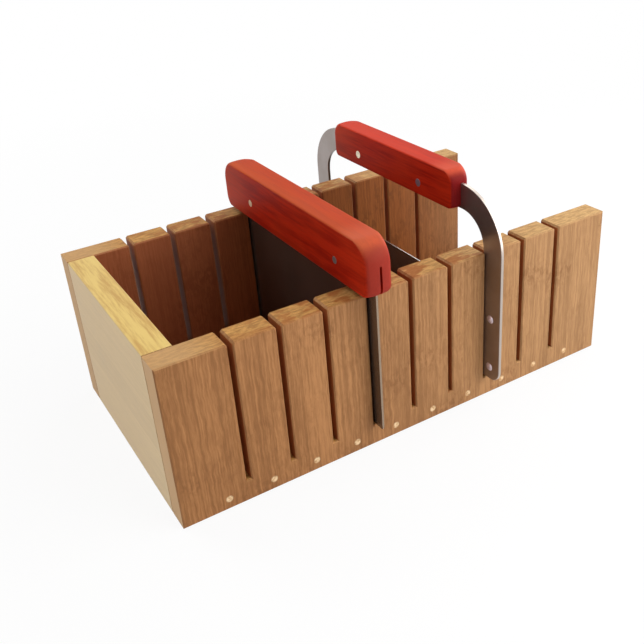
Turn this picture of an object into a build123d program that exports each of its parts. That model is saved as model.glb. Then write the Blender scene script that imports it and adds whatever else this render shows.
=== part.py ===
"""Slotted bamboo soap cutting box with two red-handled cutters standing in its saw slots.

The origin is the centre of the box's underside. X runs along the box from the closed end to
the open end, Y runs across it from the front side board to the rear one, and Z is up.
All lengths are in millimetres.
"""
import os
from math import sqrt

from build123d import *

# Boards of the box
box_length = 275.0
box_width = 150.0
wall_height = 92.0
side_board_thickness = 15.0
end_board_thickness = 15.0
floor_thickness = 12.5
board_edge_ease = 0.7

# Saw slots through both side boards, from their tops down to the floor
slot_pitch = 25.2
first_slot_from_end = 36.7
slot_running_clearance = 0.2
slot_mouth_bevel = 1.0

# Dowel pins through the side boards into the floor's edges, about one under each post
floor_pin_pitch = 25.0
first_pin_from_end = 25.0
floor_pin_diameter = 4.0
floor_pin_grip = 20.0
pin_end_room = 1.0
glue_gap = 0.05

# Straight cutter: a flat plate let into a slit along the underside of its handle
straight_slot_number = 4
straight_blade_thickness = 1.2
straight_blade_ahead = 7.0
straight_blade_rear_inset = 0.5
straight_blade_corner_radius = 2.0
straight_handle_above_walls = 3.3
straight_handle_overhang = 5.0
straight_handle_height = 28.4
straight_handle_thickness = 15.5
straight_handle_end_bulge = 2.6
straight_handle_top_radius = 12.5
straight_handle_bottom_radius = 4.5
straight_slit_depth = 16.5
straight_pin_diameter = 4.5
straight_pin_spacing = 96.0
straight_pin_offset = -4.5
straight_pin_above_underside = 10.7

# Bow cutter: a bent strip frame on edge, with a blade riveted between the feet of its legs
bow_slot_number = 7
bow_strip_thickness = 1.8
bow_strip_width = 14.5
bow_corner_radius = 33.0
bow_front_leg_ahead = 12.5
bow_rear_leg_behind = 30.5
bow_arch_above_walls = 18.9
bow_foot_radius = 7.0
bow_foot_rise = 1.5
bow_blade_thickness = 0.5
bow_blade_height = 49.5
bow_blade_end_inset = 2.5
bow_blade_corner_radius = 8.0
bow_handle_length = 128.5
bow_handle_height = 21.4
bow_handle_thickness = 14.0
bow_handle_end_bulge = 2.2
bow_handle_top_radius = 6.5
bow_handle_bottom_radius = 3.0
bow_pin_diameter = 5.0
bow_pin_spacing = 63.0

# Rivets that hold the blade to the legs, a little nearer the box than the middle of the strip
rivet_shank_diameter = 2.6
rivet_head_diameter = 5.0
rivet_head_height = 0.9
rivet_spacing = 31.0
rivet_offset_inward = 0.9

# Finish shared by both cutters
handle_edge_ease = 2.2
handle_slice_shares = (-1, -0.5, 0, 0.5, 1)
pin_edge_ease = 0.25
steel_edge_ease = 0.2
cutting_bevel_height = 3.0
cutting_edge_thickness = 0.2
blade_seat_clearance = 0.2
cut_overrun = 5.0

# Places worked out from the sizes above
closed_end_x = -box_length / 2
front_face_y = -box_width / 2
inner_width = box_width - 2 * side_board_thickness
bow_stack = bow_strip_thickness + bow_blade_thickness
slot_width = max(bow_stack, straight_blade_thickness) + 2 * slot_running_clearance
slot_count = round((box_length - 2 * first_slot_from_end) / slot_pitch) + 1
slot_places = [closed_end_x + first_slot_from_end + slot_pitch * i for i in range(slot_count)]
pin_count = round((box_length - 2 * first_pin_from_end) / floor_pin_pitch) + 1
pin_places = [closed_end_x + first_pin_from_end + floor_pin_pitch * i for i in range(pin_count)]
pin_height = floor_thickness / 2
blade_edge_z = floor_thickness + blade_seat_clearance

# Sizes of the straight cutter that follow from the box
straight_x = slot_places[straight_slot_number - 1]
straight_blade_width = box_width + straight_blade_ahead - straight_blade_rear_inset
straight_y = front_face_y - straight_blade_ahead + straight_blade_width / 2
straight_underside_z = wall_height + straight_handle_above_walls
straight_blade_height = straight_underside_z + straight_slit_depth - glue_gap - blade_edge_z
straight_handle_length = straight_blade_width + 2 * straight_handle_overhang
straight_pin_y = straight_y + straight_pin_offset
straight_pin_z = straight_underside_z + straight_pin_above_underside
straight_pin_rows = [straight_pin_y + side * straight_pin_spacing / 2 for side in (-1, 1)]
straight_pin_places = [(pin_y, straight_pin_z) for pin_y in straight_pin_rows]

# Sizes of the bow cutter that follow from the box
bow_x = slot_places[bow_slot_number - 1]
bow_strip_x = bow_x - bow_blade_thickness / 2
bow_blade_x = bow_x + bow_strip_thickness / 2
bow_outer_width = box_width + bow_front_leg_ahead + bow_rear_leg_behind
bow_y = front_face_y - bow_front_leg_ahead + bow_outer_width / 2
bow_blade_length = bow_outer_width - 2 * bow_blade_end_inset
bow_underside_z = wall_height + bow_arch_above_walls
bow_top_z = bow_underside_z + bow_strip_width
bow_foot_z = blade_edge_z + bow_foot_rise
bow_pin_z = bow_underside_z + bow_strip_width / 2
bow_pin_places = [(bow_y + side * bow_pin_spacing / 2, bow_pin_z) for side in (-1, 1)]
rivet_row_offset = (bow_outer_width - bow_strip_width) / 2 - rivet_offset_inward
rivet_heights = [blade_edge_z + bow_blade_height / 2 + side * rivet_spacing / 2 for side in (-1, 1)]
rivet_places = [(bow_y + side * rivet_row_offset, z) for side in (-1, 1) for z in rivet_heights]

os.makedirs("parts", exist_ok=True)


def write(builder, node):
    """Label a finished piece and write it as its own file."""
    builder.part.label = node
    export_step(builder.part, f"parts/{node}.step")
    print(f"{node}: {len(builder.part.solids())} solid(s), {builder.part.volume / 1000:.2f} cm3")


def end_setback(from_middle, thickness, bulge):
    """How far a bulged end falls back from its tip at a distance from the handle's middle plane."""
    radius = (thickness * thickness / 4 + bulge * bulge) / (2 * bulge)
    return radius - sqrt(radius * radius - from_middle * from_middle)


# Front side board: a comb of posts standing on one unbroken strip, with all its arrises taken off
with BuildPart() as front_side_board:
    with BuildSketch(Plane.XZ.offset(-front_face_y)) as comb:
        with Locations((0, wall_height / 2)):
            Rectangle(box_length, wall_height)
        with Locations(*[(x, (wall_height + floor_thickness) / 2) for x in slot_places]):
            Rectangle(slot_width, wall_height - floor_thickness, mode=Mode.SUBTRACT)
        mouth_corners = comb.vertices().group_by(Axis.Y)[-1].sort_by(Axis.X)[1:-1]
        chamfer(mouth_corners, slot_mouth_bevel)
    extrude(amount=-side_board_thickness)
    broad_faces = front_side_board.faces().filter_by(Axis.Y)
    chamfer(broad_faces.edges(), board_edge_ease)
    with BuildSketch(Plane.XZ.offset(-front_face_y)):
        with Locations(*[(x, pin_height) for x in pin_places]):
            Circle(floor_pin_diameter / 2 + glue_gap)
    extrude(amount=-side_board_thickness, mode=Mode.SUBTRACT)
write(front_side_board, "front_side_board")

# Rear side board: the same board turned face about
with BuildPart() as rear_side_board:
    mirror(front_side_board.part, about=Plane.XZ)
write(rear_side_board, "rear_side_board")

# End board: closes the box between the side boards and is the stop that the soap is pushed to
with BuildPart() as end_board:
    with BuildSketch(Plane.XY):
        with Locations((closed_end_x + end_board_thickness / 2, 0)):
            Rectangle(end_board_thickness, inner_width)
    extrude(amount=wall_height)
    long_top_edges = end_board.faces().sort_by(Axis.Z)[-1].edges().filter_by(Axis.Y)
    fillet(long_top_edges, board_edge_ease)
write(end_board, "end_board")

# Floor board: butts against the end board and carries the blind ends of the dowel pins
with BuildPart() as floor_board:
    with BuildSketch(Plane.XY):
        with Locations((end_board_thickness / 2, 0)):
            Rectangle(box_length - end_board_thickness, inner_width)
    extrude(amount=floor_thickness)
    for side in (-1, 1):
        with BuildSketch(Plane.XZ.offset(side * inner_width / 2)):
            with Locations(*[(x, pin_height) for x in pin_places]):
                Circle(floor_pin_diameter / 2 + glue_gap)
        extrude(amount=-side * (floor_pin_grip + pin_end_room), mode=Mode.SUBTRACT)
write(floor_board, "floor_board")

# Dowel pins of the front side board, their outer ends sanded flush with it
with BuildPart() as front_floor_pins:
    with BuildSketch(Plane.XZ.offset(-front_face_y)):
        with Locations(*[(x, pin_height) for x in pin_places]):
            Circle(floor_pin_diameter / 2)
    extrude(amount=-(side_board_thickness + floor_pin_grip))
write(front_floor_pins, "front_floor_pins")

# Dowel pins of the rear side board
with BuildPart() as rear_floor_pins:
    mirror(front_floor_pins.part, about=Plane.XZ)
write(rear_floor_pins, "rear_floor_pins")

# Straight blade: a ground plate whose top is hidden in the handle
with BuildPart() as straight_blade:
    with BuildSketch(Plane.XZ.offset(-straight_y)):
        with BuildLine():
            Polyline(
                (straight_x - straight_blade_thickness / 2, blade_edge_z + straight_blade_height),
                (straight_x + straight_blade_thickness / 2, blade_edge_z + straight_blade_height),
                (straight_x + straight_blade_thickness / 2, blade_edge_z + cutting_bevel_height),
                (straight_x + cutting_edge_thickness / 2, blade_edge_z),
                (straight_x - cutting_edge_thickness / 2, blade_edge_z),
                (straight_x - straight_blade_thickness / 2, blade_edge_z + cutting_bevel_height),
                close=True,
            )
        make_face()
    extrude(amount=straight_blade_width / 2, both=True)
    with BuildSketch(Plane.YZ.offset(straight_x)) as blade_side:
        with Locations((straight_y, blade_edge_z + straight_blade_height / 2)):
            Rectangle(straight_blade_width, straight_blade_height)
        fillet(blade_side.vertices(), straight_blade_corner_radius)
        with Locations(*straight_pin_places):
            Circle(straight_pin_diameter / 2 + glue_gap, mode=Mode.SUBTRACT)
    extrude(amount=straight_blade_thickness, both=True, mode=Mode.INTERSECT)
write(straight_blade, "straight_blade")

# Straight handle: a red stained bar with domed ends and a slit along its underside
with BuildPart() as straight_handle:
    for share in handle_slice_shares:
        from_middle = share * straight_handle_thickness / 2
        setback = end_setback(from_middle, straight_handle_thickness, straight_handle_end_bulge)
        with BuildSketch(Plane.YZ.offset(straight_x + from_middle)) as handle_slice:
            with Locations((straight_y, straight_underside_z + straight_handle_height / 2)):
                Rectangle(straight_handle_length - 2 * setback, straight_handle_height)
            fillet(handle_slice.vertices().group_by(Axis.Y)[-1], straight_handle_top_radius)
            fillet(handle_slice.vertices().group_by(Axis.Y)[0], straight_handle_bottom_radius)
    loft()
    fillet(straight_handle.faces().filter_by(Axis.X).edges(), handle_edge_ease)
    with BuildSketch(Plane.XY.offset(straight_underside_z)):
        with Locations((straight_x, straight_y)):
            Rectangle(straight_blade_thickness + 2 * glue_gap, straight_handle_length)
    extrude(amount=straight_slit_depth, mode=Mode.SUBTRACT)
    with BuildSketch(Plane.YZ.offset(straight_x)):
        with Locations(*straight_pin_places):
            Circle(straight_pin_diameter / 2 + glue_gap)
    extrude(amount=straight_handle_thickness / 2, both=True, mode=Mode.SUBTRACT)
write(straight_handle, "straight_handle")

# Pins that cross the straight handle and its blade, ground flush with the handle's sides
with BuildPart() as straight_handle_pins:
    with BuildSketch(Plane.YZ.offset(straight_x)):
        with Locations(*straight_pin_places):
            Circle(straight_pin_diameter / 2)
    extrude(amount=straight_handle_thickness / 2, both=True)
    chamfer(straight_handle_pins.faces().filter_by(Axis.X).edges(), pin_edge_ease)
write(straight_handle_pins, "straight_handle_pins")

# Bow frame: one strip on edge, bent into an arch with two legs
with BuildPart() as bow_frame:
    with BuildSketch(Plane.YZ.offset(bow_strip_x)) as arch:
        with Locations((bow_y, (bow_top_z + bow_foot_z) / 2)):
            Rectangle(bow_outer_width, bow_top_z - bow_foot_z)
        fillet(arch.vertices().group_by(Axis.Y)[-1], bow_corner_radius)
        fillet(arch.vertices().group_by(Axis.Y)[0], bow_foot_radius)
        with BuildSketch(mode=Mode.SUBTRACT) as gap:
            with Locations((bow_y, (bow_underside_z + bow_foot_z - cut_overrun) / 2)):
                Rectangle(bow_outer_width - 2 * bow_strip_width, bow_underside_z - bow_foot_z + cut_overrun)
            fillet(gap.vertices().group_by(Axis.Y)[-1], bow_corner_radius - bow_strip_width)
    extrude(amount=bow_strip_thickness / 2, both=True)
    chamfer(bow_frame.faces().filter_by(Axis.X).edges(), steel_edge_ease)
    with BuildSketch(Plane.YZ.offset(bow_strip_x)):
        with Locations(*bow_pin_places):
            Circle(bow_pin_diameter / 2 + glue_gap)
        with Locations(*rivet_places):
            Circle(rivet_shank_diameter / 2 + glue_gap)
    extrude(amount=bow_strip_thickness, both=True, mode=Mode.SUBTRACT)
write(bow_frame, "bow_frame")

# Bow blade: a thin ground band behind the legs, its lower corners rounded off
with BuildPart() as bow_blade:
    with BuildSketch(Plane.XZ.offset(-bow_y)):
        with BuildLine():
            Polyline(
                (bow_blade_x - bow_blade_thickness / 2, blade_edge_z + bow_blade_height),
                (bow_blade_x + bow_blade_thickness / 2, blade_edge_z + bow_blade_height),
                (bow_blade_x + bow_blade_thickness / 2, blade_edge_z + cutting_bevel_height),
                (bow_blade_x + cutting_edge_thickness / 2, blade_edge_z),
                (bow_blade_x - cutting_edge_thickness / 2, blade_edge_z),
                (bow_blade_x - bow_blade_thickness / 2, blade_edge_z + cutting_bevel_height),
                close=True,
            )
        make_face()
    extrude(amount=bow_blade_length / 2, both=True)
    with BuildSketch(Plane.YZ.offset(bow_blade_x)) as band_side:
        with Locations((bow_y, blade_edge_z + bow_blade_height / 2)):
            Rectangle(bow_blade_length, bow_blade_height)
        fillet(band_side.vertices().group_by(Axis.Y)[0], bow_blade_corner_radius)
        with Locations(*rivet_places):
            Circle(rivet_shank_diameter / 2 + glue_gap, mode=Mode.SUBTRACT)
    extrude(amount=bow_blade_thickness, both=True, mode=Mode.INTERSECT)
write(bow_blade, "bow_blade")

# Bow handle: a smaller red bar that sits astride the top of the arch
with BuildPart() as bow_handle:
    for share in handle_slice_shares:
        from_middle = share * bow_handle_thickness / 2
        setback = end_setback(from_middle, bow_handle_thickness, bow_handle_end_bulge)
        with BuildSketch(Plane.YZ.offset(bow_strip_x + from_middle)) as handle_slice:
            with Locations((bow_y, bow_underside_z + bow_handle_height / 2)):
                Rectangle(bow_handle_length - 2 * setback, bow_handle_height)
            fillet(handle_slice.vertices().group_by(Axis.Y)[-1], bow_handle_top_radius)
            fillet(handle_slice.vertices().group_by(Axis.Y)[0], bow_handle_bottom_radius)
    loft()
    fillet(bow_handle.faces().filter_by(Axis.X).edges(), handle_edge_ease)
    with BuildSketch(Plane.XY.offset(bow_underside_z)):
        with Locations((bow_strip_x, bow_y)):
            Rectangle(bow_strip_thickness + 2 * glue_gap, bow_handle_length)
    extrude(amount=bow_strip_width + glue_gap, mode=Mode.SUBTRACT)
    with BuildSketch(Plane.YZ.offset(bow_strip_x)):
        with Locations(*bow_pin_places):
            Circle(bow_pin_diameter / 2 + glue_gap)
    extrude(amount=bow_handle_thickness / 2, both=True, mode=Mode.SUBTRACT)
write(bow_handle, "bow_handle")

# Pins that cross the bow handle and the strip inside it
with BuildPart() as bow_handle_pins:
    with BuildSketch(Plane.YZ.offset(bow_strip_x)):
        with Locations(*bow_pin_places):
            Circle(bow_pin_diameter / 2)
    extrude(amount=bow_handle_thickness / 2, both=True)
    chamfer(bow_handle_pins.faces().filter_by(Axis.X).edges(), pin_edge_ease)
write(bow_handle_pins, "bow_handle_pins")

# Rivets: a domed head on each face of the leg and blade, two to a leg
stack_left_x = bow_x - bow_stack / 2
stack_right_x = bow_x + bow_stack / 2
for side, node in ((-1, "front_leg_rivets"), (1, "rear_leg_rivets")):
    leg_y = bow_y + side * rivet_row_offset
    with BuildPart() as leg_rivets:
        for rivet_z in rivet_heights:
            with BuildSketch(Plane.XY.offset(rivet_z)):
                with BuildLine():
                    near_head = TangentArc(
                        (stack_left_x - rivet_head_height, leg_y),
                        (stack_left_x, leg_y + rivet_head_diameter / 2),
                        tangent=(0, 1),
                    )
                    far_head = TangentArc(
                        (stack_right_x + rivet_head_height, leg_y),
                        (stack_right_x, leg_y + rivet_head_diameter / 2),
                        tangent=(0, 1),
                    )
                    Polyline(
                        near_head @ 1,
                        (stack_left_x, leg_y + rivet_shank_diameter / 2),
                        (stack_right_x, leg_y + rivet_shank_diameter / 2),
                        far_head @ 1,
                    )
                    Line(near_head @ 0, far_head @ 0)
                make_face()
            revolve(axis=Axis((0, leg_y, rivet_z), (1, 0, 0)))
    write(leg_rivets, node)
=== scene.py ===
# %% [markdown]
# # A soap cutting box with its two cutters
#
# The object is a long bamboo box, open at the top and at one end. A loaf of soap is pushed
# against the closed end, and a cutter is drawn down through one of the saw slots to take off a
# bar. Two cutters stand in the slots: a plain steel plate with a red handle, and a thin blade
# riveted across a bent strip of steel.
#
# The solids come ready made from the construction model, at their real size. What is left for
# this lesson is everything that the eye judges: the light, the camera, the finish of each piece,
# and the crisp edges and rolled ends of the two handles.

# %% Load the solids
import math

import bmesh
import bpy
import numpy as np
from mathutils import Matrix, Vector


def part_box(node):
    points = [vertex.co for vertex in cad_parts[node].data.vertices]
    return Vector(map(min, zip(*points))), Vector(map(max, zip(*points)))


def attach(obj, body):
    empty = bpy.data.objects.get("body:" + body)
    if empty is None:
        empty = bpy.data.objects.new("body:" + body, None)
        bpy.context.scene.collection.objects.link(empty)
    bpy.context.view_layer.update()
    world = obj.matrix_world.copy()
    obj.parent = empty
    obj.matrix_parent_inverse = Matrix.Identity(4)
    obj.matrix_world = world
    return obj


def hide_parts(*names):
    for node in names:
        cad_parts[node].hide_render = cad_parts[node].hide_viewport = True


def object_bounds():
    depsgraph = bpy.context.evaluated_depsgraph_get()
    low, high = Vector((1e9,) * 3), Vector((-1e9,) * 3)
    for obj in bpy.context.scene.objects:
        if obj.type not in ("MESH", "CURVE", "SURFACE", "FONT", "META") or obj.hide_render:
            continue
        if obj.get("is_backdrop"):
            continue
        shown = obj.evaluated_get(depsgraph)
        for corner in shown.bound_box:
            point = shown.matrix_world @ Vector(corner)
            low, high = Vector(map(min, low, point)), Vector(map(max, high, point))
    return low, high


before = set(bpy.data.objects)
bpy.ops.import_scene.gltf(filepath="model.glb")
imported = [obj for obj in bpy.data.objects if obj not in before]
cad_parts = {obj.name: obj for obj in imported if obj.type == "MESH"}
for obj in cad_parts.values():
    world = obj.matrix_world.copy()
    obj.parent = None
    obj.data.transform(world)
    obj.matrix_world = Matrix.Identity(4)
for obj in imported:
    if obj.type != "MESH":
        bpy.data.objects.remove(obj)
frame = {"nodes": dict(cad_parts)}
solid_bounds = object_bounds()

MM = 0.001
nodes = frame["nodes"]


def in_mm(lengths):
    """Lengths in metres as rounded millimetres, for printing."""
    return [round(length / MM, 1) for length in lengths]


print("solids:", len(nodes))
print("size in mm:", in_mm(solid_bounds[1] - solid_bounds[0]))

# %% [markdown]
# ## Sizes read from the solids
#
# A finish has to know where a board ends or where a handle lies. Typing such places a second
# time would go wrong as soon as the model changed, so they are read from the solids' boxes.
# Only the pins, which repeat inside one solid, are given by their pitch.

# %% Places that the finishes follow
wall_low, wall_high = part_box("front_side_board")
box_length = wall_high.x - wall_low.x
box_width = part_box("rear_side_board")[1].y - wall_low.y
wall_height = wall_high.z
floor_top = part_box("floor_board")[1].z
pin_pitch = 25.0 * MM
pin_height = floor_top / 2
print("box length, width and height in mm:", in_mm((box_length, box_width, wall_height)))
print("floor's top, pin height and pitch in mm:", in_mm((floor_top, pin_height, pin_pitch)))

# %% [markdown]
# ## The camera
#
# The photograph looks down on the box from the front left. A camera is easiest to describe the
# way a photographer would: which way round the object it stands, how high, how far off, and how
# much it leans. The lens is a little longer than a normal one. The small shift stands for the
# trimming of the picture after it was taken.

# %% The way that the photographer stood
view_azimuth = math.radians(-30.806)
view_elevation = math.radians(27.645)
view_lean = math.radians(-3.533)
aim_point = Vector((9.709 * MM, -7.676 * MM, 58.776 * MM))
camera_distance = 0.5

towards_camera = Vector((
    math.sin(view_azimuth) * math.cos(view_elevation),
    -math.cos(view_azimuth) * math.cos(view_elevation),
    math.sin(view_elevation),
))
level = Vector((0, 0, 1)).cross(towards_camera).normalized()
upright = towards_camera.cross(level)
camera_right = level * math.cos(view_lean) + upright * math.sin(view_lean)
camera_up = towards_camera.cross(camera_right)
camera_turn = Matrix((camera_right, camera_up, towards_camera)).transposed().to_4x4()
camera_place = aim_point + towards_camera * camera_distance
print("camera at mm:", in_mm(camera_place))

# %% A camera with its lens
camera_data = bpy.data.cameras.new("camera")
camera_data.sensor_width = 36.0
camera_data.lens = 47.252
camera_data.shift_x = -0.05804
camera_data.shift_y = -0.06006
camera_data.clip_start = 0.01
camera_data.clip_end = 50.0
camera = bpy.data.objects.new("camera", camera_data)
bpy.context.scene.collection.objects.link(camera)
bpy.context.scene.camera = camera
camera.matrix_world = Matrix.Translation(camera_place) @ camera_turn
print("lens in mm:", round(camera_data.lens, 1))

# %% [markdown]
# ## Writing finishes as sums
#
# A finish is a small sum: so much dark fibre here, less of it there. Blender's shader nodes can
# say that, but a sum made of boxes and wires is hard to read. One small class wraps a socket, so
# that `tone * 0.5 + speckle` adds the Math nodes by itself. Colours go through Mix nodes, because
# a Math node would turn them grey.

# %% A socket that can be added and multiplied
class Wire:
    """A value that changes over a surface. Sums of wires and numbers add their own nodes."""

    def __init__(self, look, socket):
        self.look = look
        self.socket = socket

    def maths(self, operation, *values):
        """The result of one Math node, whose inputs are wires or numbers."""
        inputs = dict(enumerate(values))
        return self.look.node("ShaderNodeMath", {"operation": operation}, inputs)

    def __add__(self, other):
        return self.maths("ADD", self, other)

    def __sub__(self, other):
        return self.maths("SUBTRACT", self, other)

    def __rsub__(self, other):
        return self.maths("SUBTRACT", other, self)

    def __mul__(self, other):
        return self.maths("MULTIPLY", self, other)

    def __truediv__(self, other):
        return self.maths("DIVIDE", self, other)

    def __pow__(self, other):
        return self.maths("POWER", self, other)

    def __abs__(self):
        return self.maths("ABSOLUTE", self)

    __radd__ = __add__
    __rmul__ = __mul__

    def floor(self):
        """The whole number at or below the value."""
        return self.maths("FLOOR", self)

    def above(self, limit):
        """1 where the value is above a limit, and 0 elsewhere."""
        return self.maths("GREATER_THAN", self, limit)

    def at_least(self, other):
        """The larger of two values."""
        return self.maths("MAXIMUM", self, other)

    def wrap(self, period):
        """The value measured from the nearest whole number of periods."""
        return self.maths("WRAP", self, period / 2, -period / 2)

    def ramp(self, start, end):
        """0 up to start, 1 from end on, and an S curve between them."""
        inputs = {"Value": self, "From Min": start, "From Max": end}
        return self.look.node("ShaderNodeMapRange", {"interpolation_type": "SMOOTHSTEP"}, inputs)


print("a wire's words:", [word for word in vars(Wire) if not word.startswith("_")])

# %% [markdown]
# ## Colours read off a picture
#
# A colour picker gives the numbers that a screen shows, from 0 to 255. Shaders add up light, and
# half as bright on a screen is much less than half the light, so each colour is turned into
# light by the screen's own curve before it goes into a node.

# %% From a picture's numbers to light
def paint(red, green, blue):
    """A picture colour as light: a straight line near black, and a power of 2.4 above it."""
    share = np.array([red, green, blue]) / 255
    linear = np.where(share <= 0.04045, share / 12.92, ((share + 0.055) / 1.055) ** 2.4)
    return (*(float(v) for v in linear), 1.0)


print("picture grey 128 as light:", round(paint(128, 128, 128)[0], 3))

# %% [markdown]
# ## One method for every other node
#
# `Look` is a material that is being mixed. Its `node` method makes any node: first the settings,
# then the values or wires of its sockets. The rest are short names for the nodes that a finish
# uses most: noise for anything grown, and mixing for colours. Places are the object's own
# coordinates in metres, so a pattern has its real scale and stays put when a cutter is lifted.

# %% A material that is being mixed
class Look:
    """A material, with short ways to make and join its nodes."""

    def __init__(self, name):
        self.material = bpy.data.materials.new(name)
        self.material.use_nodes = True
        self.tree = self.material.node_tree
        self.tree.nodes.clear()
        self.place = self.node("ShaderNodeTexCoord", output="Object")
        self.x, self.y, self.z = self.split(self.place)
        normal = self.node("ShaderNodeNewGeometry", output="Normal")
        self.facing = dict(zip("xyz", self.split(normal)))

    def node(self, kind, settings=None, inputs=None, output=0):
        """Makes a node, sets it up, joins its inputs, and gives one of its outputs as a wire."""
        made = self.tree.nodes.new(kind)
        for name, value in (settings or {}).items():
            setattr(made, name, value)
        for name, value in (inputs or {}).items():
            if isinstance(value, Wire):
                self.tree.links.new(value.socket, made.inputs[name])
            else:
                made.inputs[name].default_value = value
        return Wire(self, made.outputs[output]) if made.outputs else made

    def split(self, vector):
        """The three numbers of a vector."""
        first = self.node("ShaderNodeSeparateXYZ", inputs={0: vector})
        return [Wire(self, socket) for socket in first.socket.node.outputs]

    def point(self, x, y, z):
        """A vector from three numbers or wires."""
        return self.node("ShaderNodeCombineXYZ", None, {0: x, 1: y, 2: z})

    def stretched(self, across_x, across_y, across_z):
        """Object coordinates with each axis scaled, in waves per metre."""
        inputs = {0: self.place, 1: (across_x, across_y, across_z)}
        return self.node("ShaderNodeVectorMath", {"operation": "MULTIPLY"}, inputs)

    def noise(self, point, detail=2.0, roughness=0.5, distortion=0.0):
        """Smooth random tone from 0 to 1, one wave to a unit of the point."""
        inputs = {"Vector": point, "Scale": 1.0, "Detail": detail}
        inputs.update({"Roughness": roughness, "Distortion": distortion})
        return self.node("ShaderNodeTexNoise", {"normalize": True}, inputs)

    def chance(self, number):
        """A random number from 0 to 1 for each whole number."""
        return self.node("ShaderNodeTexWhiteNoise", {"noise_dimensions": "1D"}, {"W": number})

    def mix(self, share, first, second):
        """Two colours mixed by a share from 0 to 1."""
        settings = {"data_type": "RGBA", "clamp_factor": True}
        return self.node("ShaderNodeMix", settings, {0: share, 6: first, 7: second}, output=2)

    def bump(self, height, depth):
        """A dented surface: height from 0 to 1 stands for that depth in metres."""
        inputs = {"Height": height, "Distance": depth, "Strength": 1.0}
        return self.node("ShaderNodeBump", None, inputs)

    def finish(self, color, roughness, normal=None, **fixed):
        """Closes the material with one shader. Fixed values sit on the shader's own sockets."""
        inputs = {"Base Color": color, "Roughness": roughness}
        inputs.update({name.replace("_", " "): value for name, value in fixed.items()})
        if normal is not None:
            inputs["Normal"] = normal
        shader = self.node("ShaderNodeBsdfPrincipled", None, inputs)
        self.node("ShaderNodeOutputMaterial", None, {"Surface": shader})
        print("finish", self.material.name, "of", len(self.tree.nodes), "nodes")
        return self.material


print("a look's words:", [word for word in vars(Look) if not word.startswith("_")])

# %% [markdown]
# ## The floor and the light
#
# The photograph was taken on white. A floor that is white because of strong lamps would burn out
# the box too, so the floor and the sky are bright only where the camera or a shiny surface looks
# at them, and the light on the object stays plain. Near the box part of the floor still answers
# to the lamps, which keeps a soft shadow. Further off it fades to pure white, so that no horizon
# shows from any side.

# %% The floor's paint, part lit and part glowing
def bright_when_seen(look, seen_strength, lighting_strength):
    """The first strength for the camera, mirrors and glass, and the second for soft light."""
    path = look.node("ShaderNodeLightPath", output="Is Camera Ray")
    outputs = path.socket.node.outputs
    seen = path.at_least(Wire(look, outputs["Is Glossy Ray"]))
    seen = seen.at_least(Wire(look, outputs["Is Transmission Ray"]))
    return seen * (seen_strength - lighting_strength) + lighting_strength


floor_grey = (0.86, 0.86, 0.86, 1.0)
pure_white = (1.0, 1.0, 1.0, 1.0)
shown_share_near = 0.9
fade_start = 0.22
fade_end = 0.75

floor_look = Look("pale_floor")
floor_paint = floor_look.node("ShaderNodeBsdfDiffuse", None, {"Color": floor_grey})
floor_glow = floor_look.node("ShaderNodeEmission", None, {"Color": pure_white, "Strength": 1.0})
from_box = (floor_look.x ** 2 + floor_look.y ** 2) ** 0.5
shown_share = from_box.ramp(fade_start, fade_end) * (1 - shown_share_near) + shown_share_near
glow_share = bright_when_seen(floor_look, 1.0, 0.0) * shown_share
floor_shaders = {0: glow_share, 1: floor_paint, 2: floor_glow}
floor_mix = floor_look.node("ShaderNodeMixShader", None, floor_shaders)
floor_look.node("ShaderNodeOutputMaterial", None, {"Surface": floor_mix})
print("finish", floor_look.material.name, "of", len(floor_look.tree.nodes), "nodes")

# %% The floor itself
floor_reach = 6.0
floor_corners = np.array([(-1, -1, 0), (1, -1, 0), (1, 1, 0), (-1, 1, 0)]) * floor_reach
floor_mesh = bpy.data.meshes.new("studio_floor")
floor_mesh.from_pydata(floor_corners.tolist(), [], [(0, 1, 2, 3)])
floor_mesh.materials.append(floor_look.material)
studio_floor = bpy.data.objects.new("studio_floor", floor_mesh)
bpy.context.scene.collection.objects.link(studio_floor)
studio_floor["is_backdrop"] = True
print("floor of", len(floor_mesh.polygons), "face, metres to its edge:", floor_reach)

# %% The room's soft light
sky_strength = 0.05
world = bpy.data.worlds.new("studio")
world.use_nodes = True
bpy.context.scene.world = world


class Sky(Look):
    """The world is mixed with the same words as a material."""

    def __init__(self, world):
        self.tree = world.node_tree
        self.tree.nodes.clear()


sky = Sky(world)
sky_light = sky.node("ShaderNodeBackground", None, {
    "Color": pure_white,
    "Strength": bright_when_seen(sky, 1.0, sky_strength),
})
sky.node("ShaderNodeOutputWorld", None, {"Surface": sky_light})
print("sky lights the box with strength", sky_strength)

# %% [markdown]
# One large lamp would leave the box flat, and a small one would cut hard shadows into the slots.
# Seven soft square lamps stand round the table. Those at the right front are the strongest,
# because in the photograph the light comes from there, and the rest fill in the other sides.

# %% Soft lamps round the table
# Each lamp has its direction from the box, its distance and width in metres, and its power.
lamps = {
    "overhead": ((0, 0, 1), 1.2, 1.0, 4.0),
    "right_front_low": ((0.4, -0.86, 0.3), 0.62, 0.55, 2.05),
    "right_front_high": ((0.48, -0.52, 0.6), 0.8, 0.7, 3.4),
    "right": ((1.0, 0, 0.45), 0.75, 0.5, 2.6),
    "left": ((-1.0, -0.2, 0.35), 0.9, 0.6, 1.8),
    "back_left_high": ((-0.4, 0.6, 0.6), 0.95, 0.5, 3.0),
    "back_right_high": ((0.5, 0.5, 0.6), 0.85, 0.5, 1.0),
}


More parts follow.
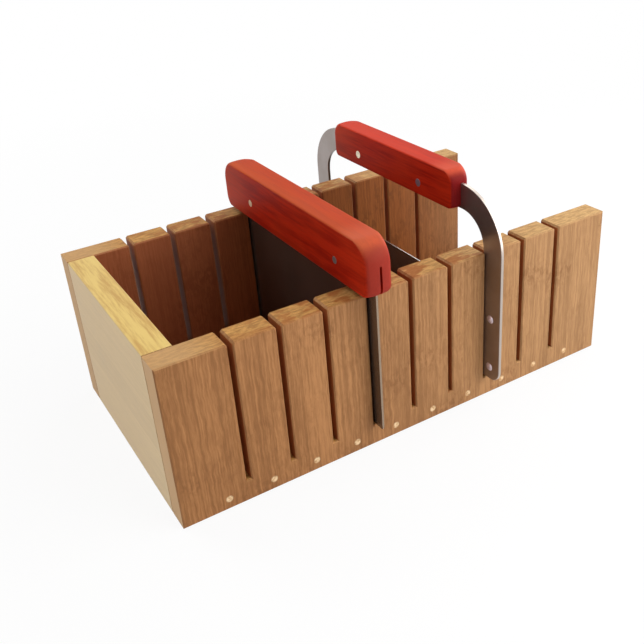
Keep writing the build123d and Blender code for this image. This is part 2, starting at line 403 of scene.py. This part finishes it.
def softbox(name, direction, distance, width, power):
    """A square lamp that stands off in a direction from the box and shines back at it."""
    lamp_data = bpy.data.lights.new(name, "AREA")
    lamp_data.shape = "SQUARE"
    lamp_data.size = width
    lamp_data.energy = power
    lamp = bpy.data.objects.new(name, lamp_data)
    bpy.context.scene.collection.objects.link(lamp)
    away = Vector(direction).normalized()
    lamp.location = Vector((0, 0, wall_height / 2)) + away * distance
    lamp.rotation_mode = "QUATERNION"
    lamp.rotation_quaternion = away.to_track_quat("Z", "Y")


for name, lamp_sizes in lamps.items():
    softbox(name, *lamp_sizes)
bpy.context.scene.view_settings.view_transform = "Standard"

# %% [markdown]
# ## Bamboo
#
# Bamboo board is glued up from strips of split cane. Each strip shows fine straight fibres, and
# every hand's width a knuckle, where the fibres curl and darken into a mottled patch. A strip
# that is cut across shows end grain instead: a field of small dark dots.
#
# A picture of bamboo laid on the boards would repeat, and stretch at the edges. A noise that is
# pulled out long in one direction runs through the whole board, so the fibres of one face meet
# those of the next. Each tone of wood is one colour, darker or lighter with such a noise.

# %% Tones of wood
plain_spread = 0.135


def shade(tone, factor):
    """A picture colour made darker or lighter by a factor. Darker wood is also warmer."""
    powers = 0.85, 1.0, 1.2
    return paint(*(min(255.0, part * factor ** power) for part, power in zip(tone, powers)))


def grained(look, fibre, tone, spread=plain_spread):
    """A tone that runs from dark to light with the fibres."""
    return look.mix(fibre.ramp(0.35, 0.65), shade(tone, 1 - spread), shade(tone, 1 + spread))


print("light wood over dark wood:", round((1 + plain_spread) / (1 - plain_spread), 2))

# %% [markdown]
# Every strip draws a random number of its own. It moves the noises along the strip, so that
# neighbours don't match, and it sets the strip's own tone and the place of its knuckle.

# %% The strips of a board
strip_width = 20.0 * MM
shift_per_strip = 5

# Waves per metre across a strip and along it, then detail, roughness and distortion.
strip_noises = {
    "wander": (95, 120, 2.0, 0.5),
    "dashes": (1150, 105, 3.0, 0.7),
    "fibres": (850, 14, 2.0, 0.5),
    "bands": (70, 16, 2.0, 0.5),
    "mottle": (360, 190, 3.0, 0.6, 0.5),
    "patch": (60, 40, 2.0, 0.5),
}


class Strips:
    """The strips of a board: places along, across and through them, and their noises.

    A strip's number is its place across the board in strip widths, rounded down.
    """

    def __init__(self, look, axes, seed):
        place = {"x": look.x, "y": look.y, "z": look.z}
        self.look = look
        self.along, self.across, self.through = (place[axis] for axis in axes)
        self.cut_across = abs(look.facing[axes[0]]).ramp(0.6, 0.9)
        self.number = (self.across / strip_width + seed).floor()
        self.own = look.chance(self.number)
        self.shift = self.own * shift_per_strip

    def noise(self, name, across=None):
        """One of the noises above, at the strip's own place or at another place across it."""
        across_waves, along_waves, *character = strip_noises[name]
        sideways = (self.across if across is None else across) * across_waves
        lengthways = self.along * along_waves + self.shift
        point = self.look.point(sideways, self.through * across_waves, lengthways)
        return self.look.noise(point, *character)


print("strips across a side board:", math.ceil(box_length / strip_width))

# %% [markdown]
# Real fibres aren't ruled lines. They sway a little to the sides, and they show as short dashes
# where the cane was split, as longer fibres, and as broad bands. Three noises of different
# length make that up, and a fourth sways the first two.

# %% Fibres that run along a strip
fibre_sway = 1.9 * MM


def fibres_of(strips):
    """The fibres' tone, and its bands alone.

    The tone is 0.42 of dashes, 0.44 of long fibres and 0.14 of bands. Dashes and fibres are read
    at a place that sways across the strip by a smooth noise.
    """
    swayed = strips.across + (strips.noise("wander") - 0.5) * fibre_sway
    bands = strips.noise("bands")
    tone = strips.noise("dashes", swayed) * 0.42 + strips.noise("fibres", swayed) * 0.44
    return tone + bands * 0.14, bands


print("fibres sway to each side by up to mm:", in_mm([fibre_sway / 2]))

# %% [markdown]
# A knuckle is where a leaf grew. It lies at one height in each strip, so it fades with the
# distance from there, and the noise in it is rounder than the fibres'.

# %% Knuckles, mottled and dark
knuckle_reach = 15.0 * MM
knuckle_waver = 16.0 * MM
knuckle_range = wall_height * 1.3
knuckle_lowest = -wall_height * 0.1
knuckle_draw = 40


def knuckles_of(strips, bands):
    """The share of knuckle at a place.

    A mottled noise fades with the distance from the strip's own knuckle, whose height is a
    second draw from the strip's number and wavers with the bands. A little of the mottle shows
    in patches elsewhere.
    """
    draw = strips.look.chance(strips.number + knuckle_draw)
    height = draw * knuckle_range + knuckle_lowest
    away = abs(strips.along - height + (bands - 0.5) * knuckle_waver)
    mottle = strips.noise("mottle").ramp(0.42, 0.62)
    patch = strips.noise("patch").ramp(0.45, 0.65)
    return (1 - away.ramp(0.0, knuckle_reach)).at_least(patch * 0.5) * mottle


print("knuckles lie from mm:", in_mm((knuckle_lowest, knuckle_lowest + knuckle_range)))

# %% [markdown]
# Where a board is cut across, the cane's vessels show as dark dots. A Voronoi pattern gives the
# distance to the nearest of many scattered points, which is just such a dot where it is small.

# %% Wood that is cut across
dots_per_metre = 1100.0
dot_share, dot_shade = 0.28, 0.72
blotch_waves = (170, 560, 130)
end_spread = 0.14
painted_light_spread = 0.1
painted_light_end_tone = (184, 148, 98)


def end_grain_of(strips, tone, painted_light):
    """Blotches of a tone, paler where painted light is given, with a dark dot round each vessel."""
    look = strips.look
    places = strips.across, strips.through, strips.along
    point = look.point(*(place * waves for place, waves in zip(places, blotch_waves)))
    blotch = look.noise(point, 3.0, 0.65)
    color = grained(look, blotch, tone, end_spread)
    if painted_light:
        color = look.mix(painted_light[0], color, grained(look, blotch, painted_light_end_tone, painted_light_spread))
    inputs = {"Vector": look.place, "Scale": dots_per_metre}
    dots = look.node("ShaderNodeTexVoronoi", None, inputs, output="Distance")
    return look.mix((1 - dots.ramp(0.1, 0.42)) * dot_share, color, shade(tone, dot_shade))


print("dots are about mm apart:", in_mm([1 / dots_per_metre]))

# %% [markdown]
# A whole board is these four put together. Each board of the box calls this one function with
# its own axes and tones, so that all of them are plainly of the same stuff.

# %% A whole bamboo board
strip_difference = 0.12
knuckle_share, knuckle_shade = 0.55, 0.74


def bamboo(look, axes, seed, tone, end_tone, contrast=1.0, painted_light=None):
    """The colour and the height of a bamboo board.

    The axes are the strips' length, their width and the board's thickness, such as "zxy". The
    tone is the fibres' with a little for the strip's own, the knuckles darken it, and faces that
    look along the strips get end grain. Painted light, a paler tone where the light falls
    strongest, is given as its share and its tone. The height is 0.8 of the fibres less a quarter
    of a knuckle.
    """
    strips = Strips(look, axes, seed)
    fibre, bands = fibres_of(strips)
    own_fibre = (fibre - 0.5 + (strips.own - 0.5) * strip_difference) * contrast + 0.5
    color = grained(look, own_fibre, tone)
    if painted_light:
        color = look.mix(painted_light[0], color, grained(look, own_fibre, painted_light[1], painted_light_spread))
    knuckle = knuckles_of(strips, bands)
    color = look.mix(knuckle * (knuckle_share * contrast), color, shade(tone, knuckle_shade))
    color = look.mix(strips.cut_across, color, end_grain_of(strips, end_tone, painted_light))
    return color, fibre * 0.8 - knuckle * 0.25


print("a strip's own tone differs from its neighbours' by up to", strip_difference)

# %% [markdown]
# ## The side boards
#
# The slots were cut with a circular saw. Their walls are painted a darker brown, as painted
# shade in the narrow slots, and the inside of the box is painted darker and redder, as painted
# shade in the trough. The tops near the cutters get brown blotches, partly a stain and partly
# painted shade of the cutters. Towards the open end the outside is painted a paler, yellower tan,
# as painted light where the light falls strongest.
#
# Each of these could be a material of its own on faces that are picked out one by one. Which
# face is which also follows from the way that the surface faces and from where it lies, so one
# finish serves the whole board, and it keeps doing so when the slots move.

# %% Sawn ends, and painted shade on the walls of the slots
mostly_facing = 0.5, 0.9
squarely_facing = 0.8, 0.95
end_face_depth = 3 * MM
strip_end_tone, strip_end_share = (202, 164, 118), 0.85
slot_shade_tone, slot_shade_share = (164, 92, 48), 0.8


def sawn_ends_and_slot_shade(look, color):
    """Pale wood on the two ends of a side board, and painted shade on the walls of its slots."""
    at_end = abs(look.x).above(box_length / 2 - end_face_depth)
    sideways = abs(look.facing["x"]).ramp(*squarely_facing)
    color = look.mix(sideways * at_end * strip_end_share, color, paint(*strip_end_tone))
    # Painted shade: the walls of the slots are made a darker brown.
    return look.mix(sideways * (1 - at_end) * slot_shade_share, color, paint(*slot_shade_tone))


print("slots lie within mm of the middle:", in_mm([box_length / 2 - end_face_depth]))

# %% Tops with a stain and painted shade near the cutters
cutters_middle = -15 * MM
cutters_reach = 40 * MM, 110 * MM
stain_and_shade_tone, stain_and_shade_share = (146, 78, 32), 0.72
unused_top_tone, unused_top_share = (190, 152, 108), 0.6


def stained_and_shaded_tops(look, color, along):
    """Brown blotches on the tops near the cutters, and paler tops at the closed end.

    The blotches, partly a stain and partly painted shade of the cutters, are full near the middle
    of the stretch between the cutters and fade out over its reach.
    """
    near_cutters = 1 - abs(look.x - cutters_middle).ramp(*cutters_reach)
    stain = look.noise(look.stretched(75, 130, 75), 3.0, 0.6).ramp(0.44, 0.58)
    upward = look.facing["z"].ramp(*mostly_facing)
    # The blotches are partly a stain and partly painted shade cast by the cutters.
    blotch_share = upward * near_cutters * stain * stain_and_shade_share
    color = look.mix(blotch_share, color, paint(*stain_and_shade_tone))
    unused = upward * (1 - along.ramp(0.04, 0.15)) * unused_top_share
    return look.mix(unused, color, paint(*unused_top_tone))


print("the stain's middle and its reach in mm:", in_mm((cutters_middle, *cutters_reach)))

# %% An inside painted darker and redder as shade
inside_shade_tone_closed_end, inside_shade_spread_closed_end = (160, 88, 56), 0.08
inside_shade_tone_open_end, inside_shade_spread_open_end = (130, 68, 22), 0.16
inside_shade_share, less_shade_at_mouth = 0.85, 0.4


def shaded_inside(look, color, fibre, along):
    """Painted shade: a darker, redder grain on faces that look towards the middle of the box.

    A place across the box times the way that its face looks is negative on an inner face.
    """
    outward = look.y * look.facing["y"] / box_width
    inward = (0 - outward).ramp(0.1, 0.4)
    closed_end = grained(look, fibre, inside_shade_tone_closed_end, inside_shade_spread_closed_end)
    open_end = grained(look, fibre, inside_shade_tone_open_end, inside_shade_spread_open_end)
    inside_shade = look.mix(along.ramp(0.2, 0.7), closed_end, open_end)
    # Less painted shade at the open end, where more light gets in.
    share = inside_shade_share - along.ramp(0.8, 1.0) * less_shade_at_mouth
    return look.mix(inward * share, color, inside_shade)


# The share of wood that the painted shade hides at the mouth.
print("oil hides this share of the wood at the mouth:", round(inside_shade_share - less_shade_at_mouth, 2))

# %% Both side boards
post_tone = (161, 111, 68)
post_end_tone = (178, 130, 70)
painted_light_tone, painted_light_share = (169, 130, 89), 0.7
board_grain_depth = 0.05 * MM
dull = {"Specular_IOR_Level": 0.15}


def side_board(name, seed):
    """Upright fibres outside, end grain on top, and painted shade in the slots and inside, which is
    darker and redder. Towards the open end it is paler, as painted light.
    """
    look = Look(name)
    along = look.x / box_length + 0.5
    # Painted light: paler and yellower towards the open end, where the light falls strongest.
    painted_light = along.ramp(0.1, 1.0) * painted_light_share, painted_light_tone
    color, height = bamboo(look, "zxy", seed, post_tone, post_end_tone, painted_light=painted_light)
    color = sawn_ends_and_slot_shade(look, color)
    color = stained_and_shaded_tops(look, color, along)
    color = shaded_inside(look, color, height + 0.1, along)
    return look.finish(color, 0.5 + height * 0.14, look.bump(height, board_grain_depth), **dull)


side_looks = {
    # The front board's seed gives light strips beside the two cutters: random tone, chosen as
    # painted light where the cutters' shadows fall.
    "front_side_board": side_board("bamboo_front", 28.3),
    "rear_side_board": side_board("bamboo_rear", 5.7),
}

# %% [markdown]
# ## The end board and the floor
#
# Their strips lie level. The end board is a paler, plainer cut than the side boards, and its top
# edge, which was planed last, is yellow with brown streaks. The floor is of the same bamboo as
# the sides, painted darker as shade inside the trough, and so is the end board's inner face. Both
# can use the same bamboo with its axes turned.

# %% The end board
end_board_tone, end_board_end_tone = (206, 176, 127), (196, 160, 108)
top_streak_tone, top_tone = (190, 148, 74), (218, 187, 106)
end_inside_shade_tone, end_inside_shade_share = (158, 108, 66), 0.6
end_board_grain_depth = 0.02 * MM


def end_board():
    """Fibres along Y: plain and light outside, yellow and streaked on top, painted shade inside."""
    look = Look("bamboo_end")
    tones = end_board_tone, end_board_end_tone
    color, height = bamboo(look, "yzx", 2.2, *tones, contrast=0.18)
    streaks = look.noise(look.point(look.x * 300, look.y * 24, look.z * 300), 4.0, 0.7)
    top = look.mix(streaks.ramp(0.34, 0.6), paint(*top_streak_tone), paint(*top_tone))
    color = look.mix(look.facing["z"].ramp(*mostly_facing), color, top)
    # Painted shade: the inner face of the end board is made darker.
    inside = look.facing["x"].ramp(*mostly_facing) * end_inside_shade_share
    color = look.mix(inside, color, paint(*end_inside_shade_tone))
    normal = look.bump(height, end_board_grain_depth)
    return look.finish(color, 0.42 + height * 0.12, normal, Specular_IOR_Level=0.4)


# %% The floor board
# The floor is given a darker tone than the sides, as painted shade inside the trough.
floor_shade_tone = (146, 96, 58)


def floor_board():
    """Fibres along X, with the open end cut across."""
    look = Look("bamboo_floor")
    color, height = bamboo(look, "xyz", 8.4, floor_shade_tone, post_end_tone, contrast=0.9)
    return look.finish(color, 0.5 + height * 0.14, look.bump(height, board_grain_depth), **dull)


level_looks = {"end_board": end_board(), "floor_board": floor_board()}

# %% [markdown]
# ## Dowel pins
#
# The pins that hold the floor are ordinary pale dowels, sawn off and sanded flush. They show as
# a row of cream spots, and a thin dark line of glue runs round each of them. All ten of a wall
# are one solid, so the distance from a pin's own axis comes from wrapping the place along the
# wall by the pitch, and one finish draws every ring.

# %% Pale dowels with a glue line
dowel_dark_tone, dowel_tone = (190, 146, 98), (238, 208, 164)
glue_tone, glue_share = (164, 116, 72), 0.75
glue_ring = 1.2 * MM, 2.0 * MM


def dowel_pins():
    """Cream end grain, with a brown ring where the distance from the pin's own axis is largest."""
    look = Look("dowel")
    pin_across = (look.x - pin_pitch / 2).wrap(pin_pitch)
    pin_up = look.z - pin_height
    from_axis = (pin_across ** 2 + pin_up ** 2) ** 0.5
    speckle = look.noise(look.stretched(480, 200, 480), 3.0, 0.6)
    color = look.mix(speckle.ramp(0.36, 0.6), paint(*dowel_dark_tone), paint(*dowel_tone))
    color = look.mix(from_axis.ramp(*glue_ring) * glue_share, color, paint(*glue_tone))
    return look.finish(color, 0.6, Specular_IOR_Level=0.3)


dowel_look = dowel_pins()

# %% [markdown]
# ## The shape of the handles
#
# Both handles were sawn from a bar. Their ends were rolled over on a sanding belt, while their
# long arrises were barely broken, so a sharp line of light runs along the top. The solids have
# the right size, but their arrises are rounder than that, so the two handles are shaped again
# here inside the same boxes.
#
# A bar with a slit could be cut with a boolean, which leaves ragged faces. It is also a block
# that has been folded round the slit. Its first parameter runs round the slit, from the foot of
# one cheek over the top to the foot of the other. The second runs from the slit's wall out to
# the surface, and the third from the front end to the rear. The six faces of the block are the
# whole skin, so it closes by itself.

# %% The section of a handle, folded round its slit
arris_steps = 6
cheek_steps = 26
top_steps = 12


def folded_section(half_width, foot, top, ease, half_slit, slit_top):
    """Two paths round the slit, point for point: on its walls, and on the outer surface.

    The outer path has a quarter circle of the ease's radius at each arris. Between the arrises
    the steps follow a cosine, which makes them small near the foot and the top.
    """
    turn = np.linspace(0, math.pi / 2, arris_steps)
    fall = (1 - np.cos(np.linspace(0, math.pi, cheek_steps)[1:-1])) / 2
    inwards = np.linspace(half_width - ease, 0, top_steps)[1:]
    lower_arc = half_width - ease + ease * np.sin(turn), foot + ease - ease * np.cos(turn)
    side = np.full(fall.size, half_width), foot + ease + (top - foot - 2 * ease) * fall
    upper_arc = half_width - ease + ease * np.cos(turn), top - ease + ease * np.sin(turn)
    top_line = inwards, np.full(inwards.size, top)
    outer = np.hstack([lower_arc, side, upper_arc, top_line]).T
    cheek_count = len(outer) - inwards.size
    wall = np.full(cheek_count, half_slit), np.linspace(foot, slit_top, cheek_count)
    roof = np.linspace(half_slit, 0, top_steps)[1:], np.full(inwards.size, slit_top)
    inner = np.hstack([wall, roof]).T
    mirrored = np.array([-1.0, 1.0])
    return [np.vstack([path, path[-2::-1] * mirrored]) for path in (inner, outer)]


print("points from foot to middle:", 2 * arris_steps + cheek_steps + top_steps - 3)

# %% [markdown]
# A sanding belt takes most off the corners. Seen from above each end is a shallow bow with a
# quarter circle at its two sides, and seen from the side it has one at the top and at the foot.
# Each takes the end back by some distance, and the distances are simply added.

# %% The ends of a handle, rolled over
def rolled(inside, radius):
    """How far a quarter circle falls back at a distance inside an edge."""
    reach = np.clip(radius - inside, 0, radius)
    return radius - np.sqrt(radius ** 2 - reach ** 2)


def end_setback(x, z, half_width, foot, top, end):
    """How far an end falls back from its tip: a bulge, and a roll at each of its edges.

    The bulge grows with the square of the distance from the middle.
    """
    bulge = end["bulge"] * (x / half_width) ** 2
    near_roll = rolled(half_width + x, end["near"]) * (x < 0)
    far_roll = rolled(half_width - x, end["far"]) * (x >= 0)
    top_roll = rolled(top - z, end["top"])
    return bulge + near_roll + far_roll + top_roll + rolled(z - foot, end["foot"])


print("a 6 mm roll, 1 mm inside its edge, in mm:", in_mm([rolled(1 * MM, 6 * MM)]))

# %% The skin of the folded block
merge_distance = 0.0005 * MM
sharp_angle = math.radians(38)


def grid_cells(rows, columns):
    """The four corners of each cell of a grid, its points counted row by row."""
    index = np.arange(rows * columns).reshape(rows, columns)
    corners = index[:-1, :-1], index[:-1, 1:], index[1:, 1:], index[1:, :-1]
    return np.stack(corners, -1).reshape(-1, 4)


def block_skin(name, block):
    """A closed mesh from the six faces of a grid of points, one for each end of its axes."""
    points, cells, count = [], [], 0
    for axis in range(3):
        for face in (block.take(0, axis), block.take(-1, axis)):
            points.append(face.reshape(-1, 3))
            cells.append(grid_cells(*face.shape[:2]) + count)
            count += len(points[-1])
    mesh = bpy.data.meshes.new(name)
    mesh.from_pydata(np.vstack(points).tolist(), [], np.vstack(cells).tolist())
    skin = bmesh.new()
    skin.from_mesh(mesh)
    bmesh.ops.remove_doubles(skin, verts=skin.verts, dist=merge_distance)
    bmesh.ops.recalc_face_normals(skin, faces=skin.faces)
    skin.to_mesh(mesh)
    skin.free()
    mesh.shade_smooth()
    mesh.set_sharp_from_angle(angle=sharp_angle)
    return mesh


print("a grid of 3 by 4 points has", len(grid_cells(3, 4)), "cells")

# %% A handle from its section and its ends
end_steps = 20
length_steps = 6
cheek_setback = 0.05 * MM


def shaped_handle(name, node, ease, slit_width, slit_depth, front, rear):
    """A handle inside a solid's box, as a block folded round the slit.

    A point of the section is the slit's path plus a share of the way to the outer path. Its
    place along the handle is a share of the way from the front end to the rear end, each of
    which falls back from its tip. The cheeks lie a hair inside the solid's, so that the ends of
    the pins show.
    """
    low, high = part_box(node)
    middle = (low.x + high.x) / 2
    half_width = (high.x - low.x) / 2 - cheek_setback
    section = folded_section(half_width, low.z, high.z, ease, slit_width / 2, low.z + slit_depth)
    inner, outer = (path[:, None, None, :] for path in section)
    outwards = np.sin(np.linspace(0, math.pi / 2, end_steps))[None, :, None]
    along = np.linspace(0, 1, length_steps)[None, None, :]

    x, z = np.moveaxis(inner + (outer - inner) * outwards[..., None], -1, 0)
    sizes = half_width, low.z, high.z
    front_y = low.y + front["shorter"] + end_setback(x, z, *sizes, front)
    rear_y = high.y - rear["shorter"] - end_setback(x, z, *sizes, rear)
    y = front_y + (rear_y - front_y) * along
    mesh = block_skin(name, np.stack(np.broadcast_arrays(x + middle, y, z), -1))
    piece = bpy.data.objects.new(name, mesh)
    bpy.context.scene.collection.objects.link(piece)
    print(name, "faces:", len(mesh.polygons), "points:", len(mesh.vertices))
    return piece


print("points from the slit out, and along:", end_steps, length_steps)

# %% Both handles
def end_sizes(**sizes):
    """An end's sizes in metres: how much shorter than the solid, its bulge, and its rolls."""
    return {name: size * MM for name, size in sizes.items()}


straight_grip = shaped_handle(
    "straight_grip", "straight_handle",
    ease=0.9 * MM, slit_width=1.3 * MM, slit_depth=16.5 * MM,
    front=end_sizes(shorter=0.0, bulge=1.6, near=2.0, far=3.0, top=12.5, foot=4.5),
    rear=end_sizes(shorter=2.6, bulge=1.6, near=3.2, far=6.0, top=12.0, foot=6.0),
)
bow_grip = shaped_handle(
    "bow_grip", "bow_handle",
    ease=0.9 * MM, slit_width=1.9 * MM, slit_depth=14.55 * MM,
    front=end_sizes(shorter=1.6, bulge=1.2, near=1.4, far=6.0, top=7.5, foot=3.0),
    rear=end_sizes(shorter=2.2, bulge=1.6, near=3.0, far=5.0, top=8.0, foot=3.5),
)

# %% The handles move with their cutters
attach(straight_grip, "straight_cutter")
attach(bow_grip, "bow_cutter")
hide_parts("straight_handle")
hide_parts("bow_handle")
for grip in (straight_grip, bow_grip):
    print(grip.name, "length in mm:", in_mm([grip.dimensions.y]))

# %% [markdown]
# ## Red stained handles
#
# The handles are of a pale wood, dipped in a red stain. The stain sinks deeper into the soft
# part of each year ring, so the grain still shows as short dark pores. On top the red turns
# orange, partly worn and partly a painted sheen, most of all along the left arris, and a painted
# highlight of pale pink lies where the top runs out at the front. Towards the rear the cheeks
# carry a paler painted sheen.
#
# Marks like these are often painted by hand. Here each kind is a share that follows from the
# place on the handle and the way that the surface faces, so both handles get them in the same way.

# %% Tones of the red stain
deep_red, plain_red = (142, 22, 9), (178, 38, 15)
cloudy_red, cloudy_share = (184, 54, 22), 0.35
rear_sheen_red, rear_sheen_share = (206, 104, 74), 0.2
highlight_pink, highlight_share = (226, 134, 104), 0.2
end_share = 0.8
stain_grain_depth = 0.04 * MM
print("red tones from", deep_red, "to", highlight_pink)


# %% Stain that lets the grain show
def stained(name, node, orange_top_tone, end_tone):
    """Red stain over grain along Y, orange on top, paler at the rear and dark at the ends.

    The grain is half pores and half year rings. The orange on top, partly wear and partly painted
    sheen, is 1 along the left arris and 0.6 along the other, and more where the grain is high. The
    paler rear of the cheeks is a painted sheen, and the pale pink at the front of the top a painted
    highlight.
    """
    low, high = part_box(node)
    half, middle = (high - low) / 2, (high + low) / 2
    look = Look(name)
    towards_left_arris = ((middle.x - look.x) / half.x).ramp(-0.3, 1.0)
    towards_front = (middle.y - look.y) / half.y
    pores = look.noise(look.stretched(900, 55, 900), 3.0, 0.6)
    rings = look.noise(look.stretched(160, 7, 160), 2.0, 0.55)
    cloud = look.noise(look.stretched(45, 26, 45), 2.0, 0.5)
    grain = pores * 0.5 + rings * 0.5
    color = look.mix(grain.ramp(0.38, 0.6), paint(*deep_red), paint(*plain_red))
    color = look.mix(cloud.ramp(0.3, 0.75) * cloudy_share, color, paint(*cloudy_red))

    upward = look.facing["z"].ramp(0.15, 0.8)
    # Orange on top: partly wear, partly painted sheen of the lit top and its left arris.
    orange_top = upward * (towards_left_arris * 0.4 + 0.6)
    color = look.mix(orange_top * (grain * 0.9 + 0.35), color, paint(*orange_top_tone))
    # Painted sheen: the rear of the cheeks is painted paler.
    rear_sheen = (0 - towards_front).ramp(0.35, 0.95) * (1 - upward)
    color = look.mix(rear_sheen * rear_sheen_share, color, paint(*rear_sheen_red))
    # Painted highlight: pale pink where the top runs out at the front.
    pale = towards_front.ramp(0.6, 0.85) * upward
    color = look.mix(pale * highlight_share, color, paint(*highlight_pink))
    end = abs(look.facing["y"]).ramp(0.42, 0.88)
    color = look.mix(end * end_share, color, paint(*end_tone))
    normal = look.bump(grain, stain_grain_depth)
    return look.finish(color, 0.4 + pores * 0.16, normal, Specular_IOR_Level=0.05)


handle_looks = {
    "straight_handle": stained("red_straight", "straight_handle", (184, 78, 34), (142, 50, 40)),
    "bow_handle": stained("red_bow", "bow_handle", (200, 56, 30), (104, 16, 24)),
}

# %% [markdown]
# ## Steel
#
# The plate, the strip and the thin blade are bright rolled steel, nearly a mirror: each shows
# its slot and the bamboo beside it a second time. Rolling leaves fine lines along the length.
# They are a noise stretched along the line, which varies the roughness and dents the surface by
# about a micron. A deeper dent would smear the mirrored slots away.

# %% Rolled steel
rolling_waves = {"x": (20, 900, 900), "y": (900, 20, 900), "z": (900, 900, 20)}
rolling_depth = 0.0008 * MM
edge_light_fade_start, edge_light_fade_end = 0, 60 * MM


def steel(name, along, tone, edge_light_tones, rough, metal):
    """Metal with rolling lines along one axis, and edges with painted highlight and shade.

    Roughness runs from the first to the second value with 0.4 of the lines and 0.6 of a smear.
    The edges, which don't face along X, go from a lighter front tone, a painted highlight, to a
    darker rear tone, a painted shade.
    """
    look = Look(name)
    lines = look.noise(look.stretched(*rolling_waves[along]), 3.0, 0.6)
    smear = look.noise(look.stretched(40, 40, 40), 3.0, 0.6)
    roughness = (lines * 0.4 + smear * 0.6) * (rough[1] - rough[0]) + rough[0]
    color = look.mix(smear.ramp(0.3, 0.7), shade(tone, 0.92), paint(*tone))
    front_tone, rear_tone = (paint(*edge_tone) for edge_tone in edge_light_tones)
    # Painted highlight on the front edges, fading to painted shade on the rear ones.
    edge = look.mix(look.y.ramp(edge_light_fade_start, edge_light_fade_end), front_tone, rear_tone)
    color = look.mix(abs(look.facing["x"]).ramp(0.3, 0.8), edge, color)
    return look.finish(color, roughness, look.bump(lines, rolling_depth), Metallic=metal)


print("rolling lines per mm:", max(rolling_waves["x"]) * MM)

# %% The plate, the strip, the thin blade and the rivets
plate_edge_lights = (156, 136, 116), (140, 122, 104)
strip_edge_lights = (190, 178, 168), (104, 96, 92)
band_edge_lights = (190, 184, 178), (150, 144, 138)
rivet_edges = (176, 164, 172), (176, 164, 172)
plate_look = steel("plate_steel", "y", (132, 121, 112), plate_edge_lights, (0.18, 0.3), 0.87)
strip_look = steel("strip_steel", "z", (158, 148, 144), strip_edge_lights, (0.26, 0.38), 0.93)
band_look = steel("band_steel", "y", (156, 152, 148), band_edge_lights, (0.16, 0.28), 0.9)
# The rivet heads are painted a pale lilac, a painted highlight that makes each whole head as light
# as its spot of light.
rivet_look = steel("rivet_steel", "x", (204, 190, 198), rivet_edges, (0.34, 0.46), 0.7)

# %% [markdown]
# The handle pins are soft metal, filed flush with the wood. Those at the rear are painted
# bright, as a painted highlight, and those at the front are grey. Front and rear pins of a handle
# are one solid, so the tone follows the place along it.

# %% Handle pins, bright at the rear and grey at the front
worn_tone, worn_share = (120, 106, 92), 0.35
pin_tone_change = 0.0, 20 * MM


def handle_pins(name, rear_tone, front_tone):
    """Metal whose tone goes from the front tone to the rear tone along the handle."""
    look = Look(name)
    worn = look.noise(look.stretched(700, 700, 700), 3.0, 0.6)
    color = look.mix(look.y.ramp(*pin_tone_change), paint(*front_tone), paint(*rear_tone))
    color = look.mix(worn.ramp(0.45, 0.7) * worn_share, color, paint(*worn_tone))
    return look.finish(color, 0.34 + worn * 0.16, Metallic=0.6)


pin_looks = {
    # The bright rear tones are a painted highlight.
    "straight_handle_pins": handle_pins("pin_metal_straight", (206, 178, 146), (122, 108, 110)),
    "bow_handle_pins": handle_pins("pin_metal_bow", (244, 234, 208), (126, 108, 122)),
}

# %% [markdown]
# ## Dressing the pieces
#
# A solid from the construction model keeps its shape, and gets its finish in its first material
# slot. The two handles' solids are hidden, so their finish goes to the shaped handles that stand
# for them.

# %% Give each piece its finish
finishes = {
    **side_looks,
    **level_looks,
    **handle_looks,
    **pin_looks,
    "front_floor_pins": dowel_look,
    "rear_floor_pins": dowel_look,
    "straight_blade": plate_look,
    "bow_frame": strip_look,
    "bow_blade": band_look,
    "front_leg_rivets": rivet_look,
    "rear_leg_rivets": rivet_look,
}
shown_pieces = {**nodes, "straight_handle": straight_grip, "bow_handle": bow_grip}
for name, material in finishes.items():
    slots = shown_pieces[name].data.materials
    slots.clear()
    slots.append(material)
print("dressed:", len(finishes), "pieces of", len(shown_pieces))

# %% [markdown]
# ## The last measure
#
# The finishes are not meant to change the size of the object, so the solids' size, printed at the
# start, and the size of what is shown, printed here, can be set side by side.

# %% Print the size of what is shown
shown_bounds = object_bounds()
print("shown size in mm:", in_mm(shown_bounds[1] - shown_bounds[0]))
